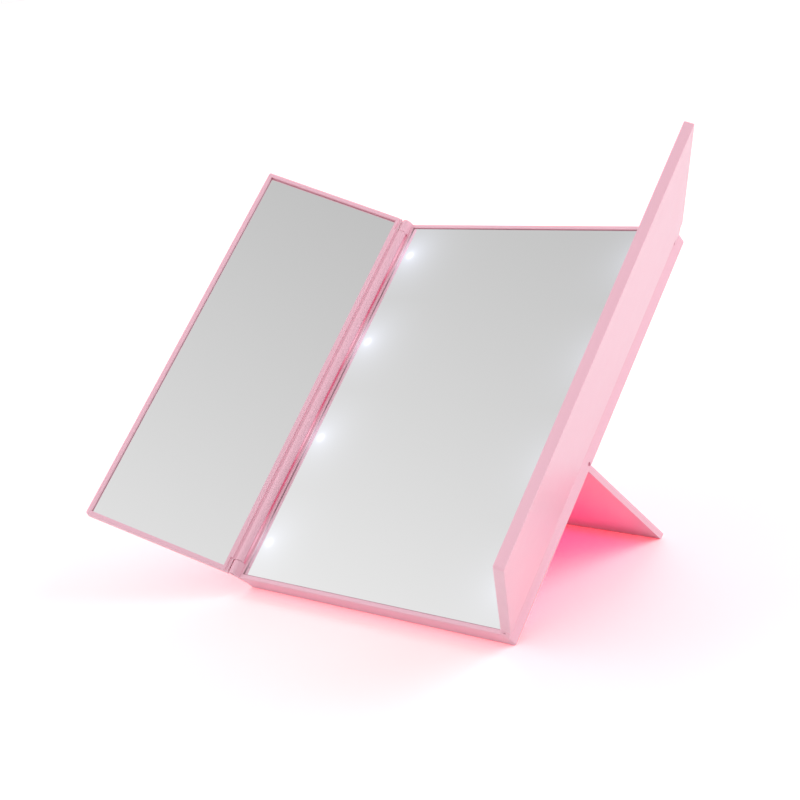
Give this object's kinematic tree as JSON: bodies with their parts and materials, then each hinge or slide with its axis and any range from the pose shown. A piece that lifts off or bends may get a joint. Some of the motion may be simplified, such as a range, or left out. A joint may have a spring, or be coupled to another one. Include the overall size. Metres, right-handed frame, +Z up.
{
  "type": "trifold vanity mirror",
  "caption": "Lit trifold vanity mirror: a flat rectangular centre mirror with two hinged side mirrors, leaning back on a fold-out stand, with a rear push switch and battery door.",
  "frame": {"origin": "middle of the narrow flat along the centre panel's rear lower edge, which rests on the table", "axes": "+X to the viewer's right along the hinge-to-hinge width, -Y towards the viewer, +Z up; the centre panel leans back about 50.5 degrees from upright"},
  "size_m": [0.241, 0.1886, 0.1734],
  "materials": {
    "pink_shell": "satin moulded ABS, pale pink",
    "pink_button": "smooth moulded ABS, slightly deeper pink",
    "mirror": "silvered float glass with ground edges",
    "tape": "white double-sided foam tape",
    "diffuser": "frosted translucent acrylic",
    "circuit_board": "white solder mask on fibreglass board",
    "led": "surface-mount white LED, emits cool white light",
    "resistor": "ceramic chip resistor",
    "cell_steel": "nickel-plated steel can",
    "contact_plating": "nickel-plated spring strip",
    "screw_steel": "zinc-plated steel",
    "pin_steel": "drawn steel wire",
    "switch_housing": "black moulded switch body",
    "wire_red": "red PVC insulation",
    "wire_black": "black PVC insulation"
  },
  "bodies": {
    "centre_panel": {"front_housing": "pink_shell", "rear_cover": "pink_shell", "case_screws": "screw_steel", "centre_mirror": "mirror", "centre_tape": "tape", "led_resistors": "resistor", "coin_cell_left": "cell_steel", "coin_cell_right": "cell_steel", "minus_contact": "contact_plating", "plus_contact": "contact_plating", "switch_body": "switch_housing", "switch_leads": "contact_plating", "plus_wire": "wire_red", "switched_wire": "wire_red", "minus_wire": "wire_black", "link_wires": "wire_black", "light_diffusers_left": "diffuser", "light_diffusers_right": "diffuser", "led_board_left": "circuit_board", "led_board_right": "circuit_board", "leds_left": "led", "leds_right": "led", "hinge_pin_bottom_left": "pin_steel", "hinge_pin_bottom_right": "pin_steel", "hinge_pin_top_left": "pin_steel", "hinge_pin_top_right": "pin_steel"},
    "left_wing": {"left_wing_shell": "pink_shell", "left_wing_mirror": "mirror", "left_wing_tape": "tape"},
    "right_wing": {"right_wing_shell": "pink_shell", "right_wing_mirror": "mirror", "right_wing_tape": "tape"},
    "stand": {"stand_leg": "pink_shell", "stand_pin_left": "pin_steel", "stand_pin_right": "pin_steel"},
    "power_button": {"power_button": "pink_button"},
    "battery_door": {"battery_door": "pink_shell", "battery_door_screw": "screw_steel"}
  },
  "joints": [
    {"name": "right_wing_hinge", "type": "hinge", "parent": "centre_panel", "child": "right_wing", "pos_m": [0.0717, -0.00761, 0.00861], "axis": [0, 0.7712, 0.6366], "range_deg": [-119, 61]},
    {"name": "left_wing_hinge", "type": "hinge", "parent": "centre_panel", "child": "left_wing", "pos_m": [-0.0717, -0.00761, 0.00861], "axis": [0, -0.7712, -0.6366], "range_deg": [-148.5, 31.5]},
    {"name": "stand_hinge", "type": "hinge", "parent": "centre_panel", "child": "stand", "pos_m": [0, 0.05827, 0.04976], "axis": [1, 0, 0], "range_deg": [-94, 0]},
    {"name": "button_press", "type": "slide", "parent": "centre_panel", "child": "power_button", "axis": [0, -0.6366, 0.7712], "range_m": [0, 0.0008], "stiffness_N_per_m": 1500, "springref_m": -0.0005},
    {"name": "battery_door_slide", "type": "slide", "parent": "centre_panel", "child": "battery_door", "axis": [0, 0.6366, -0.7712], "range_m": [0, 0.02]}
  ]
}
